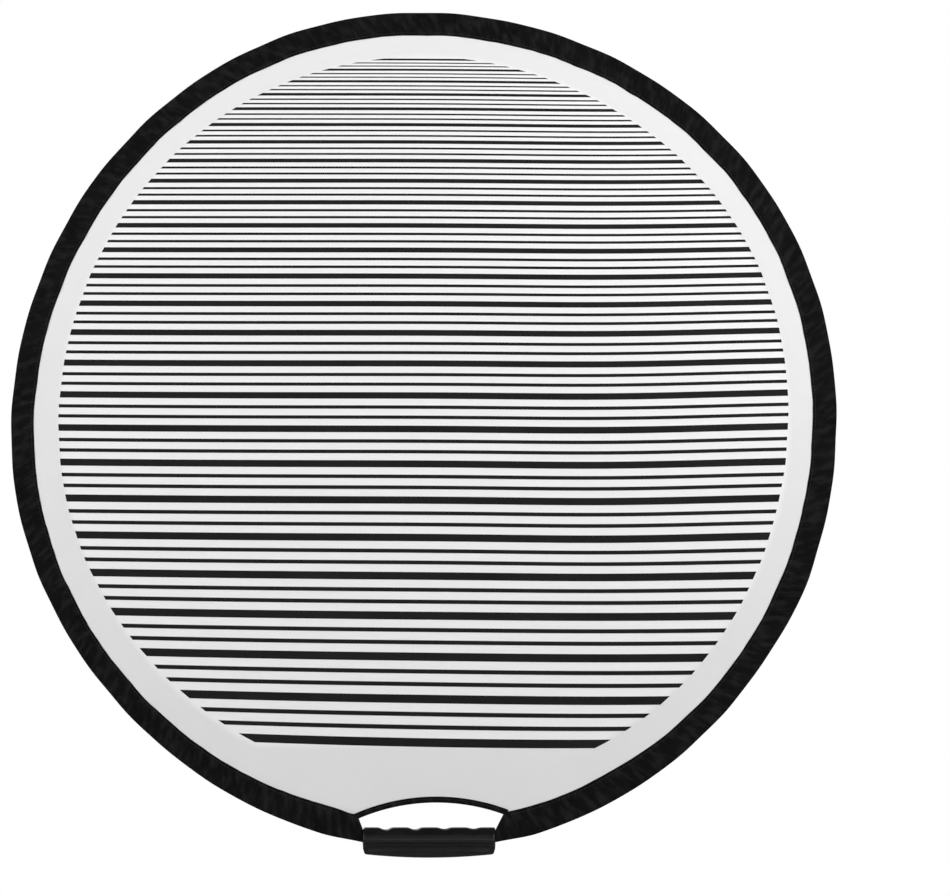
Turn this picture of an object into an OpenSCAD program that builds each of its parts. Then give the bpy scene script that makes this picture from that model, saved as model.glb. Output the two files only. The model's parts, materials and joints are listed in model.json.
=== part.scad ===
// Handled spring-hoop disc with a printed line face: two cloth faces in a bound edge, stretched by a
// flat steel band, with a screwed two-part hand grip under an arched hand opening.
// X runs to the right, Y from the printed front to the plain back, Z up.
// The origin is the middle of the grip, on the band's centre line.
// The band follows four arcs that meet smoothly: a long one round the disc, one each side that runs
// down to the grip, and a tighter one through it.

/* [Disc] */
// Outside diameter over the rim binding
disc_d = 800; // [740:10:900]
// Width of the rim binding, seen from the front
binding_w = 22; // [16:1:30]
// Thickness of the woven tape
tape_t = 0.5; // [0.3:0.1:0.8]
// Thickness of each cloth face
cloth_t = 0.5; // [0.3:0.1:0.8]
// Thickness of the sewing thread
thread_d = 0.5; // [0.3:0.1:0.8]

/* [Hoop] */
// Radial thickness of the spring-steel band
band_t = 1; // [0.6:0.1:1.2]
// Width of the band, from front to back
band_w = 5; // [4:0.5:6]
// Length of the crimped sleeve over the band's ends
ferrule_l = 44; // [30:1:60]
// Wall of the crimped sleeve
ferrule_t = 0.9; // [0.6:0.1:1.2]
// Diameter of each rivet's shank
rivet_d = 2; // [1.5:0.1:2.5]
// How far the grip's ends pull the band out below the hoop's circle
grip_pull = 1.7; // [1.5:0.1:2]
// Slope at which the band leaves the grip's ends
leave_slope = 13.5; // [13:0.25:14.5]

/* [Bow] */
// How far the disc bows about its middle line, each way
bow_limit = 60; // [30:5:70]

/* [Printed lines] */
// Plain margin between the printed area and the rim seam
print_margin = 24; // [12:1:40]
// How far the printed area's centre sits above the disc's
print_rise = 4; // [0:1:8]
// From the disc's centre down to the lowest line
print_drop = 309.5; // [200:0.5:330]
// Height of the lowest group of lines
first_group = 42.9; // [30:0.1:50]
// How much shorter each group is than the one below
group_step = 1.363; // [0.5:0.001:1.4]
// Thickness of the ink
ink_t = 0.1; // [0.05:0.05:0.2]

/* [Hand opening] */
// Half of the opening's width at its corners
open_half = 70; // [68:1:80]
// Height of the corners above the origin
corner_z = 31.5; // [29:0.5:34]
// Rise of the arch above the corners
arch_rise = 14; // [10:1:30]
// Width of the bias tape on the arch
arch_tape_w = 5.5; // [4:0.5:8]

/* [Grip] */
// Length of the grip
grip_l = 128; // [110:1:132]
// Depth of the rounded bar, from front to back
bar_depth = 24; // [20:1:30]
// Radius of the rounded bar's front and back
bar_r = 7.5; // [7:0.25:8]
// Depth of the lower band, from front to back
skirt_depth = 18; // [14:1:20]
// Lowest point of the grip below the origin
grip_drop = 7.8; // [7:0.1:9]
// Wall thickness of the moulding
wall = 2.2; // [1.6:0.1:2.6]
// How far the grip sits to the right of the disc's centre
grip_shift = 4.5; // [0:0.5:8]
// Number of finger notches
notches = 4; // [2:1:4]
// Distance between the finger notches
notch_pitch = 28.5; // [24:0.5:30]

/* [Hidden] */
$fn = 96;

// Colours
cloth_white = [0.93, 0.93, 0.93];
tape_black = [0.07, 0.07, 0.07];
thread_black = [0.16, 0.16, 0.16];
ink_black = [0.08, 0.08, 0.09];
moulded_black = [0.11, 0.11, 0.11];

// Play between pieces that touch in the same body
touch = 0.02;
// Angle by which one arc of the binding runs into the next, so that they are one piece
lap = 0.004;
// Steps of the band's curve, round the disc and inside the grip
hoop_step = 2;
grip_step = 1;
// Working clearance round pieces that are clamped or threaded through
play = 0.3;

// Disc
rim_r = disc_d / 2;
seam_r = rim_r - binding_w;
band_r = rim_r - tape_t - band_t / 2;
grip_arc_r = grip_l / 2 / sin(leave_slope);
end_rise = grip_arc_r * (1 - cos(leave_slope));
disc_centre = [-grip_shift, band_r + grip_pull + end_rise];
disc_z = disc_centre[1];
cloth_gap = 0.3;
cloth_r = band_r - 3;
cloth_face = cloth_gap / 2 + cloth_t;
seam_y = cloth_face + tape_t;
rim_y = band_w / 2 + tape_t;
seam_flat = 10;
seam_rise = 0.2;
seam_spare = 10;
rim_shoulder = 3;
rim_round = 0.7;
stitch_inset = 2.6;
thread_fn = 16;
disc_fn = 240;
beyond = disc_d + 100;

// Printed lines: each group is ten parts high, and each bar is [first part, parts] of its group
bars = [[0, 2], [4, 1], [7, 1]];
groups = floor(first_group / group_step);
print_r = seam_r - print_margin;

// Hand opening
arch_r = (open_half ^ 2 + arch_rise ^ 2) / (2 * arch_rise);
arch_top = corner_z + arch_rise;
arch_z = arch_top - arch_r;
arch_stitch_inset = 3.6;
tack_l = 5;
tack_w = 2;
tack_inset = 3;

// Grip
grip_top = 20.3;
bar_z = grip_top - bar_r;
end_half = grip_l / 2 + 0.4;
end_z = grip_top - 2;
bottom_bow = 3;
skirt_taper = 2;
skirt_r = 3;
corner_r = 4;
end_r = 2;
notch_r = 5;
notch_depth = 2.2;
panel_depth = 0.8;
panel_inset = 5;
panel_top = 4.6;
panel_bottom = -4;

// Ferrule and rivets
rivet_x = ferrule_l / 2 - 8;
rivet_head_r = 1.9;
rivet_head_h = 0.6;
band_end_gap = 1;

// Screws and their bosses
screw_z = bar_z + 1;
screw_x = [-43, 0, 43];
shank_r = 1.2;
head_r = 2.8;
head_h = 2;
boss_r = 3.6;
head_sink = 2.6;
screw_tip_y = -8.6;
head_seat_y = bar_depth / 2 - head_sink;
rib_x = [-54, -34, 34, 54];
rib_t = 1.8;

// Gap left at the bow line so that a piece this thick can bow to its limit
function bow_gap(thick) = thick * tan(bow_limit / 2) + 0.4;
function group_h(k) = first_group - k * group_step;
function group_z(k) = -print_drop + k * first_group - group_step * k * (k - 1) / 2;
// Points of an arc in a plane
function arc(c, r, from, to, n = 8) =
    [for (i = [0 : n]) c + r * [cos(from + (to - from) * i / n), sin(from + (to - from) * i / n)]];

// Direction in X and Z, turned from straight down towards the right
function below(a) = [sin(a), -cos(a)];
// The arc on one side (-1 left, 1 right): tangent to the disc's circle and to the grip's arc
function end_point(side) = [side * grip_l / 2, end_rise];
function side_r(side) = let (w = end_point(side) - disc_centre, n = below(side * leave_slope))
    (w * w - band_r ^ 2) / (2 * (w * n - band_r));
function side_centre(side) = end_point(side) - side_r(side) * below(side * leave_slope);
function side_angle(side) = let (d = disc_centre - side_centre(side)) atan2(d[0], -d[1]);
// Points of one arc of the hoop, without its last one, which is the next arc's first
function hoop_arc(c, r, from, to, step) = let (n = ceil((to - from) / step))
    [for (i = [0 : n - 1]) c + r * below(from + (to - from) * i / n)];
// The hoop's closed outline, at a distance out from the band's centre line
function hoop_outline(out) = concat(
    hoop_arc([0, grip_arc_r], grip_arc_r + out, -leave_slope, leave_slope, grip_step),
    hoop_arc(side_centre(1), side_r(1) + out, leave_slope, side_angle(1), hoop_step),
    hoop_arc(disc_centre, band_r + out, side_angle(1), 360 + side_angle(-1), hoop_step),
    hoop_arc(side_centre(-1), side_r(-1) + out, side_angle(-1), -leave_slope, hoop_step));

// Keeps what is below or above the bow line
module below_bow(thick) {
    difference() {
        children();
        translate([-beyond / 2, -beyond / 2, disc_z - bow_gap(thick) / 2]) cube(beyond);
    }
}
module above_bow(thick) {
    difference() {
        children();
        translate([-beyond / 2, -beyond / 2, disc_z + bow_gap(thick) / 2 - beyond]) cube(beyond);
    }
}

// A flat outline drawn in X and Z, made solid between two depths in Y
module slab(y0, y1) {
    translate([0, y1, 0]) rotate([90, 0, 0]) linear_extrude(y1 - y0) children();
}
// A section drawn as radius and depth, turned about a point in X and Z
module round_about(centre) {
    translate([centre[0], 0, centre[1]]) rotate([90, 0, 0]) rotate_extrude($fn = disc_fn) children();
}
module round_arch() {
    round_about([0, arch_z]) children();
}
module disc_outline(r) {
    translate(disc_centre) circle(r, $fn = disc_fn);
}
module sector(centre, from, to) {
    slab(-beyond, beyond) polygon([centre, centre + beyond * below(from), centre + beyond * below(to)]);
}
// A section drawn as distance out from the band's centre line and depth, carried round the disc
module along_disc() {
    difference() {
        round_about(disc_centre) translate([band_r, 0]) children();
        sector(disc_centre, side_angle(-1), side_angle(1));
    }
    for (side = [-1, 1]) intersection() {
        round_about(side_centre(side)) translate([side_r(side), 0]) children();
        sector(side_centre(side), side * (leave_slope - lap), side_angle(side) + side * lap);
    }
}
module along_grip() {
    intersection() {
        round_about([0, grip_arc_r]) translate([grip_arc_r, 0]) children();
        sector([0, grip_arc_r], -leave_slope, leave_slope);
    }
}

// The whole circle of the arch, grown by the room that its tape takes
module arch_outline(grow) {
    translate([0, arch_z]) circle(arch_r + grow, $fn = disc_fn);
}
// Outline of the hand opening between the hemmed ends of the rim binding
module opening_outline() {
    intersection() {
        arch_outline(0);
        polygon([[-end_half, -4 * grip_drop], [end_half, -4 * grip_drop], [end_half, end_z],
                 [open_half, corner_z], [open_half + (open_half - end_half), 2 * corner_z - end_z],
                 [-open_half - (open_half - end_half), 2 * corner_z - end_z],
                 [-open_half, corner_z], [-end_half, end_z]]);
    }
}

// Cloth face between two depths
module cloth(y0, y1) {
    slab(y0, y1) difference() {
        disc_outline(cloth_r);
        arch_outline(tape_t + touch);
    }
}
module front_cloth() {
    cloth(-cloth_face, -cloth_gap / 2);
}
module back_cloth() {
    cloth(cloth_gap / 2, cloth_face);
}
module front_cloth_lower() {
    color(cloth_white) below_bow(2 * cloth_face) front_cloth();
}
module front_cloth_upper() {
    color(cloth_white) above_bow(2 * cloth_face) front_cloth();
}
module back_cloth_lower() {
    color(cloth_white) below_bow(2 * cloth_face) back_cloth();
}
module back_cloth_upper() {
    color(cloth_white) above_bow(2 * cloth_face) back_cloth();
}

// Ink bars, cut to the round printed area
module printed_lines() {
    face = cloth_face + touch;
    intersection() {
        translate([0, 0, print_rise]) slab(-face - ink_t, -face) disc_outline(print_r);
        for (k = [0 : groups - 1], bar = bars) {
            part = group_h(k) / 10;
            z = group_z(k) + bar[0] * part;
            if (z + bar[1] * part < print_rise + print_r) {
                translate([-grip_shift - print_r, -face - 1, disc_z + z]) {
                    cube([2 * print_r, 2, bar[1] * part]);
                }
            }
        }
    }
}
module printed_lines_lower() {
    color(ink_black) below_bow(2 * (cloth_face + ink_t)) printed_lines();
}
module printed_lines_upper() {
    color(ink_black) above_bow(2 * (cloth_face + ink_t)) printed_lines();
}

// Tape folded round the band: a U in section, open towards the disc's centre
module rim_section() {
    out = rim_r - band_r;
    seam = seam_r - band_r;
    lining_y = tape_t - touch;
    side = [[seam - seam_spare, seam_y], [seam, seam_y], [seam + seam_flat, seam_y + seam_rise],
            [-rim_shoulder, rim_y], [out - rim_round, rim_y], [out, rim_y - rim_round]];
    lining = [[seam - seam_spare, seam_y - lining_y], [seam, seam_y - lining_y],
              [seam + seam_flat, seam_y + seam_rise - lining_y], [-rim_shoulder, rim_y - lining_y],
              [band_t / 2 + touch / 2, rim_y - lining_y]];
    polygon(concat(side, [for (i = [len(side) - 1 : -1 : 0]) [side[i][0], -side[i][1]]],
                   [for (p = lining) [p[0], -p[1]]], [for (i = [len(lining) - 1 : -1 : 0]) lining[i]]));
}
module rim_binding() {
    difference() {
        along_disc() rim_section();
        slab(-2 * rim_y, 2 * rim_y) disc_outline(seam_r);
        slab(-2 * rim_y, 2 * rim_y) opening_outline();
    }
}
module rim_binding_lower() {
    color(tape_black) below_bow(2 * rim_y) rim_binding();
}
module rim_binding_upper() {
    color(tape_black) above_bow(2 * rim_y) rim_binding();
}

// Seam threads on the front and the back of the rim binding
module rim_stitching() {
    y = seam_y + seam_rise * stitch_inset / seam_flat + thread_d / 2 + touch;
    difference() {
        round_about(disc_centre) for (side = [-1, 1]) {
            translate([seam_r + stitch_inset, side * y]) circle(d = thread_d, $fn = thread_fn);
        }
        slab(-2 * rim_y, 2 * rim_y) opening_outline();
    }
}
module rim_stitching_lower() {
    color(thread_black) below_bow(2 * rim_y) rim_stitching();
}
module rim_stitching_upper() {
    color(thread_black) above_bow(2 * rim_y) rim_stitching();
}

// Bias tape folded over the arched edge of both cloths
module opening_binding() {
    color(tape_black) intersection() {
        round_arch() difference() {
            translate([arch_r, -seam_y]) square([arch_tape_w, 2 * seam_y]);
            translate([arch_r + tape_t, -cloth_face - touch]) {
                square([arch_tape_w, 2 * (cloth_face + touch)]);
            }
        }
        slab(-2 * seam_y, 2 * seam_y) disc_outline(seam_r - 10 * touch);
    }
}
module opening_stitching() {
    y = seam_y + thread_d / 2 + touch;
    color(thread_black) intersection() {
        round_arch() for (side = [-1, 1]) {
            translate([arch_r + arch_stitch_inset, side * y]) circle(d = thread_d, $fn = thread_fn);
        }
        slab(-2 * seam_y, 2 * seam_y) disc_outline(seam_r - 10 * touch);
    }
}

// Dense stitches across the hemmed ends of the rim binding, on both faces
module binding_tacks() {
    slant = atan2(corner_z - end_z, open_half - end_half);
    middle = [(open_half + end_half) / 2 + tack_inset, (corner_z + end_z) / 2];
    y = seam_y + seam_rise + thread_d / 2 + touch;
    color(thread_black) for (side = [-1, 1], face = [-1, 1]) {
        translate([side * middle[0], face * y, middle[1]]) rotate([0, -side * (slant - 90), 0]) {
            cube([tack_w, thread_d, tack_l], center = true);
        }
    }
}

// Flat band, with its two ends meeting in the ferrule
module band_section(spare) {
    square([band_t + 2 * spare, band_w + 2 * spare], center = true);
}
module hoop() {
    difference() {
        slab(-band_w / 2, band_w / 2) difference() {
            polygon(hoop_outline(band_t / 2));
            polygon(hoop_outline(-band_t / 2));
        }
        cube([band_end_gap, 2 * band_w, 2 * band_w], center = true);
        rivet_shanks(rivet_d / 2 + touch);
    }
}
module hoop_lower() {
    color("silver") below_bow(band_w) hoop();
}
module hoop_upper() {
    color("silver") above_bow(band_w) hoop();
}
// Places each rivet square to the band
module at_rivets() {
    for (side = [-1, 1]) {
        turn = asin(side * rivet_x / grip_arc_r);
        translate([0, 0, grip_arc_r]) rotate([0, -turn, 0]) translate([0, 0, -grip_arc_r]) children();
    }
}
module rivet_shanks(r) {
    at_rivets() cylinder(h = 8, r = r, center = true, $fn = 32);
}
module hoop_ferrule() {
    color("gainsboro") difference() {
        intersection() {
            along_grip() difference() {
                band_section(touch + ferrule_t);
                band_section(touch);
            }
            cube([ferrule_l, 4 * band_w, 4 * band_w], center = true);
        }
        rivet_shanks(rivet_d / 2 + touch);
    }
}
module hoop_rivets() {
    seat = band_t / 2 + ferrule_t + 0.15;
    color("silver") at_rivets() {
        cylinder(h = 2 * seat, d = rivet_d, center = true, $fn = 32);
        for (side = [-1, 1]) {
            translate([0, 0, side * (seat + rivet_head_h / 2)]) {
                cylinder(h = rivet_head_h, r = rivet_head_r, center = true, $fn = 32);
            }
        }
    }
}

// Cross-section of the grip, with Y and Z as its axes: a rounded bar on a narrower skirt
module grip_section(inset) {
    bar_y = bar_depth / 2 - bar_r;
    skirt_y = skirt_depth / 2;
    skirt_h = bar_z + grip_drop - skirt_r;
    for (side = [-1, 1]) {
        translate([side * bar_y, bar_z]) circle(bar_r - inset);
        translate([side * (skirt_y - skirt_r), skirt_r - grip_drop]) circle(max(skirt_r - inset, 0.8));
    }
    translate([-bar_y, bar_z - bar_r + inset]) square([2 * bar_y, 2 * (bar_r - inset)]);
    translate([inset - skirt_y, skirt_r - grip_drop]) square([2 * (skirt_y - inset), skirt_h]);
    translate([skirt_r - skirt_y, inset - grip_drop]) square([2 * (skirt_y - skirt_r), skirt_h]);
}
// Front outline of the grip: ends that taper downwards and a bottom edge that bows
module grip_outline(inset) {
    half = grip_l / 2 - inset;
    low = half - skirt_taper;
    bow_r = (low ^ 2 + bottom_bow ^ 2) / (2 * bottom_bow);
    foot = bottom_bow - grip_drop + inset;
    intersection() {
        polygon(concat(arc([half - end_r, grip_top - end_r - inset], end_r, 0, 90),
                       arc([end_r - half, grip_top - end_r - inset], end_r, 90, 180),
                       arc([corner_r - low, foot + corner_r], corner_r, 180, 270),
                       [[0, inset - grip_drop - 1]],
                       arc([low - corner_r, foot + corner_r], corner_r, 270, 360)));
        translate([0, bow_r - grip_drop + inset]) circle(bow_r, $fn = 360);
    }
}
module grip_form(inset) {
    intersection() {
        rotate([90, 0, 90]) linear_extrude(grip_l - 2 * inset, center = true) grip_section(inset);
        slab(-bar_depth, bar_depth) grip_outline(inset);
    }
}
// Notches between the finger lobes, straight across the top of the bar
module finger_notches() {
    for (i = [0 : notches - 1]) {
        x = (i - (notches - 1) / 2) * notch_pitch;
        translate([x, 0, grip_top - notch_depth + notch_r]) rotate([90, 0, 0]) {
            cylinder(h = 2 * bar_depth, r = notch_r, center = true);
        }
    }
}
// Room for the band and its ferrule
module band_channel() {
    along_grip() band_section(play);
    intersection() {
        along_grip() band_section(ferrule_t + rivet_head_h + play);
        cube([ferrule_l + 2, 4 * band_w, 4 * band_w], center = true);
    }
}
module along_y(x, z, y0, y1, r) {
    translate([x, y1, z]) rotate([90, 0, 0]) cylinder(h = y1 - y0, r = r, $fn = 48);
}
// Hollow inside the shells, around the screw bosses and the ribs that carry the band
module grip_hollow() {
    difference() {
        grip_form(wall);
        for (x = screw_x) along_y(x, screw_z, -bar_depth, bar_depth, boss_r);
        for (x = rib_x) translate([x - rib_t / 2, -bar_depth, -grip_drop]) {
            cube([rib_t, 2 * bar_depth, 2 * grip_top]);
        }
    }
}
module grip_half(front) {
    difference() {
        grip_form(0);
        grip_hollow();
        band_channel();
        finger_notches();
        translate([-grip_l, front ? -touch / 2 : touch / 2 - bar_depth, -grip_l / 2]) {
            cube([2 * grip_l, bar_depth, grip_l]);
        }
    }
}
module grip_front_shell() {
    half = grip_l / 2 - panel_inset;
    color(moulded_black) difference() {
        grip_half(true);
        slab(-bar_depth, panel_depth - skirt_depth / 2) {
            polygon([[-half, panel_top], [half, panel_top], [half - skirt_taper, panel_bottom],
                     [skirt_taper - half, panel_bottom]]);
        }
        for (x = screw_x) along_y(x, screw_z, screw_tip_y - 0.4, 1, shank_r + touch);
    }
}
module grip_back_shell() {
    color(moulded_black) difference() {
        grip_half(false);
        for (x = screw_x) {
            along_y(x, screw_z, -1, skirt_depth, shank_r + 0.25);
            along_y(x, screw_z, head_seat_y, skirt_depth, head_r + play);
        }
    }
}
// Pan-head screws, driven from the back, with a cross slot
module grip_screws() {
    head_y = head_seat_y + touch;
    color("silver") for (x = screw_x) {
        difference() {
            union() {
                along_y(x, screw_z, screw_tip_y, head_y + 0.1, shank_r);
                along_y(x, screw_z, head_y, head_y + head_h, head_r);
            }
            for (turn = [0, 90]) {
                translate([x, head_y + head_h, screw_z]) rotate([0, turn, 0]) {
                    cube([2 * head_r - 2, 2, 0.8], center = true);
                }
            }
        }
    }
}

front_cloth_lower();
front_cloth_upper();
printed_lines_lower();
printed_lines_upper();
back_cloth_lower();
back_cloth_upper();
rim_binding_lower();
rim_binding_upper();
rim_stitching_lower();
rim_stitching_upper();
opening_binding();
opening_stitching();
binding_tacks();
hoop_lower();
hoop_upper();
hoop_ferrule();
hoop_rivets();
grip_front_shell();
grip_back_shell();
grip_screws();
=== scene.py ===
"""The looks of a handled line-board disc: two cloths sewn into a bound spring hoop, with a moulded grip.

Metres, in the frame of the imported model: X right, Y from the printed front to the plain back, Z up.
"""

import json
import math

import bpy
import numpy as np
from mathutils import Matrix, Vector


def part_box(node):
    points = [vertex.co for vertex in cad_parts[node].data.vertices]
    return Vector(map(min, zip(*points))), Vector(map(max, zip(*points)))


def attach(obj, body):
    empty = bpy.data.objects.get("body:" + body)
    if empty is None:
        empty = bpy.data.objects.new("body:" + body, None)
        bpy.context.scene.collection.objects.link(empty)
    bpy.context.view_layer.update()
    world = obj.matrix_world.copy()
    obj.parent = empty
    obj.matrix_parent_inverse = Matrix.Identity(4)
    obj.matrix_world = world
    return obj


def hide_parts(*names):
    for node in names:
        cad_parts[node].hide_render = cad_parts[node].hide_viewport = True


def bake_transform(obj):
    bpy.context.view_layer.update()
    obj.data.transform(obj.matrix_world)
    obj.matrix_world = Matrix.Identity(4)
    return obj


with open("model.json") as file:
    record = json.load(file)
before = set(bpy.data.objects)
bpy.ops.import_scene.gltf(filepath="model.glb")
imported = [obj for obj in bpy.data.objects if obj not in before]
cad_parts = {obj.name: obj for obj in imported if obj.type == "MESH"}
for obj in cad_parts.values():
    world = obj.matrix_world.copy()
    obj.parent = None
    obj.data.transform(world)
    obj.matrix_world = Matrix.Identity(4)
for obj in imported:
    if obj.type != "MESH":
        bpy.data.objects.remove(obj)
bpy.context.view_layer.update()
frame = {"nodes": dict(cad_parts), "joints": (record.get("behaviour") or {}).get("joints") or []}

MM = 0.001

# ---------------------------------------------------------------- sizes, from the frame and the drawing

BOW = frame["joints"][0]
DISC = np.array([BOW["pos_m"][0], BOW["pos_m"][2]])
RIM_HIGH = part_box("rim_binding_upper")[1]
RIM_R = RIM_HIGH.z - DISC[1]
RIM_DEPTH = RIM_HIGH.y
GRIP_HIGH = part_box("grip_front_shell")[1]
GRIP_HALF = GRIP_HIGH.x
GRIP_TOP = GRIP_HIGH.z
BAND_W = 2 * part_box("hoop_upper")[1].y

TAPE_T = 0.5 * MM
CLOTH_T = 0.5 * MM
BAND_T = 1.0 * MM
THREAD_R = 0.25 * MM
BAND_R = RIM_R - TAPE_T - BAND_T / 2
BAND_OUT = BAND_T / 2 + TAPE_T
LEAVE = math.radians(13.5)
BINDING_W = 22 * MM
SEAM_R = RIM_R - BINDING_W
CLOTH_R = BAND_R - 3 * MM
CLOTH_NEAR = 0.15 * MM
CLOTH_FACE = CLOTH_NEAR + CLOTH_T
SEAM_DEPTH = CLOTH_FACE + TAPE_T

# Printed lines: each group is ten parts high, and a bar is (first part, parts)
MARGIN_W = 24 * MM
PRINT_R = SEAM_R - MARGIN_W
PRINT_RISE = 4 * MM
PRINT_DROP = 309.5 * MM
FIRST_GROUP = 42.9 * MM
GROUP_STEP = 1.363 * MM
GROUP_PARTS = 10
BARS = ((0, 2), (4, 1), (7, 1))
INK_GAP = 0.02 * MM
INK_T = 0.1 * MM

# Hand opening: its two corners, pulled a little unevenly by the cloth, and the arch between them
CORNERS = {-1: np.array([-68.2, 29.3]) * MM, 1: np.array([71.8, 33.4]) * MM}
ARCH_RISE = 13.3 * MM
CHORD = CORNERS[1] - CORNERS[-1]
CHORD_L = math.hypot(*CHORD)
ARCH_R = ((CHORD_L / 2) ** 2 + ARCH_RISE ** 2) / (2 * ARCH_RISE)
ARCH_DOWN = np.array([CHORD[1], -CHORD[0]]) / CHORD_L
ARCH_CENTRE = (CORNERS[1] + CORNERS[-1]) / 2 + ARCH_DOWN * (ARCH_R - ARCH_RISE)
HEM_X = GRIP_HALF + 0.05 * MM
HEM_Z = GRIP_TOP - 2 * MM


# ---------------------------------------------------------------- curves that the pieces share

def smooth(t):
    """A soft step from 0 to 1."""
    t = np.clip(t, 0, 1)
    return t * t * (3 - 2 * t)


def wrapped(angle):
    """The same direction, as an angle within half a turn of straight down."""
    return np.angle(np.exp(1j * np.asarray(angle)))


def below(angle):
    """Direction in X and Z, turned from straight down towards the right."""
    return np.stack([np.sin(angle), -np.cos(angle)], -1)


def at(angle, r):
    """Point in X and Z at that direction and distance from the disc's centre."""
    return DISC + below(angle) * np.asarray(r)[..., None]


FAR = 10.0


def ray(angle, centre, r, side=1):
    """Distance from the disc's centre to a circle's far side or near one, and far away where it misses."""
    way, to = below(angle), centre - DISC
    along = way @ to
    square = along ** 2 - to @ to + r ** 2
    distance = along + side * np.sqrt(np.maximum(square, 0))
    return np.where((square > 0) & (distance > 0), distance, FAR)


GRIP_ARC_R = GRIP_HALF / math.sin(LEAVE)
END_RISE = GRIP_ARC_R * (1 - math.cos(LEAVE))


def side_arc(side):
    """Centre, radius and last angle of the hoop's arc between the grip and the disc's own circle."""
    end = np.array([side * GRIP_HALF, END_RISE]) - DISC
    out = below(side * LEAVE)
    r = (end @ end - BAND_R ** 2) / (2 * (end @ out - BAND_R))
    centre = DISC + end - r * out
    back = DISC - centre
    return centre, r, math.atan2(back[0], -back[1])


SIDE_ARCS = {side: side_arc(side) for side in (-1, 1)}
GRIP_ENDS = {side: math.atan2(side * GRIP_HALF - DISC[0], DISC[1] - END_RISE) for side in (-1, 1)}


# Waves of the hoop: how many round the disc, height in mm, and where one crests, in degrees from the right.
# Kinks in the tape: place in degrees from the foot, spread in degrees, height in mm.
WAVES = ((2, 1.35, 76), (3, 1.05, 42), (4, 1.05, 22.5), (5, 0.6, -32), (31, 0.2, 4), (47, 0.16, 2))
KINKS = ((66, 4.5, 2.1), (77, 6, 0.9), (-79, 9, 0.7), (-41, 4, 0.6), (-125, 6, 0.7))


def bell(x, spread):
    """A soft hump, 1 high."""
    return np.exp(-(x / spread) ** 2)


def free_of_grip(angle):
    """0 in the grip and 1 well away from it."""
    return smooth((np.abs(wrapped(angle)) - math.radians(13)) / math.radians(35))


def out_of_round(angle):
    """How far the hoop stands out of its circle: a stretched hoop is never quite round."""
    turn = angle - math.pi / 2
    sway = sum(height * np.cos(count * (turn - math.radians(crest))) for count, height, crest in WAVES)
    return sway * free_of_grip(angle) * MM


def band_pull(angle):
    """Where the band alone stands further out than the seam: a slight lean to the right, and kinks."""
    lean = 0.7 * np.cos(angle - math.radians(60))
    kinks = sum(height * bell(np.degrees(wrapped(angle - math.radians(place))), spread)
                for place, spread, height in KINKS)
    return (lean + kinks) * free_of_grip(angle) * MM


def shoulder(angle, side, height, rise, stay, fall):
    """A fuller curve where the hoop leaves one end of the grip: height in mm, the rest in degrees past it."""
    past = np.degrees(wrapped(angle) * side - abs(GRIP_ENDS[side]))
    return height * MM * smooth(past / rise) * (1 - smooth((past - stay) / fall))


def band_line(angle):
    """Distance from the disc's centre to the band's centre line."""
    angle = wrapped(angle)
    r = np.full(np.shape(angle), BAND_R)
    for side in (-1, 1):
        centre, arc_r, last = SIDE_ARCS[side]
        on_arc = (angle * side > 0) & (angle * side < abs(last))
        r = np.where(on_arc, ray(angle, centre, arc_r), r)
    in_grip = (angle > GRIP_ENDS[-1]) & (angle < GRIP_ENDS[1])
    r = np.where(in_grip, ray(angle, np.array([0, GRIP_ARC_R]), GRIP_ARC_R), r)
    shoulders = shoulder(angle, -1, 2.6, 6, 14, 20) + shoulder(angle, 1, 3.1, 6, 14, 30)
    return r + out_of_round(angle) + band_pull(angle) + shoulders


def seam_line(angle):
    """Distance from the disc's centre to the binding's inner edge, which runs out to the left corner."""
    to_corner = 2.8 * MM * bell(np.degrees(wrapped(angle)) + 10.3, 2.6)
    return SEAM_R + 1.1 * out_of_round(angle) - 0.2 * MM + shoulder(angle, 1, 3.0, 3, 7, 14) + to_corner


def lift(x, z):
    """How far the disc's surface leaves its plane: a shallow saddle that is still at the grip."""
    u, w = (x - DISC[0]) / RIM_R, (z - DISC[1]) / RIM_R
    saddle = 1.5 * (u * u - 0.7 * w * w) + 0.9 * u * w
    return saddle * MM * smooth((z - 50 * MM) / (260 * MM))


def cloth_seat(flat):
    """The same lift, for points in X and Z."""
    return lift(flat[..., 0], flat[..., 1])


# Hollows: depth in mm, radians per metre in X and in Z, phase. Puckers: depth in mm, waves round, phase.
HOLLOWS = ((0.16, 21, 9, 0.4), (0.12, -13, 27, 2.1), (0.08, 38, -17, 4.0))
PUCKERS = ((0.14, 71, 0.3), (0.1, 97, 1.7), (0.08, 53, 4.4))
HOLLOWS_FROM = 60 * MM
PUCKER_REACH = 7 * MM


def cloth_lift(x, z):
    """The surface of the stretched cloth: the saddle, soft hollows, and puckers that run in from the seam."""
    u, w = x - DISC[0], z - DISC[1]
    angle, r = np.arctan2(u, -w), np.hypot(u, w)
    inside = np.clip(seam_line(angle) - r, 0, None)
    hollows = sum(deep * np.sin(a * u + b * w + phase) for deep, a, b, phase in HOLLOWS)
    puckers = sum(deep * np.sin(count * angle + phase) for deep, count, phase in PUCKERS)
    soft = hollows * smooth(inside / HOLLOWS_FROM) + puckers * np.exp(-inside / PUCKER_REACH)
    return lift(x, z) + soft * MM


# ---------------------------------------------------------------- mesh helpers

def grid_faces(rows, columns, close_columns=False, start=0):
    """Quads of a grid of points, row by row."""
    i = np.arange(rows - 1)[:, None]
    j = np.arange(columns if close_columns else columns - 1)[None, :]
    here, there = i * columns, (i + 1) * columns
    after = (j + 1) % columns
    quads = np.stack([here + j, here + after, there + after, there + j], -1)
    return quads.reshape(-1, 4) + start


def flipped(faces):
    """The same faces, turned to look the other way."""
    return [face[::-1] for face in faces]


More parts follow.
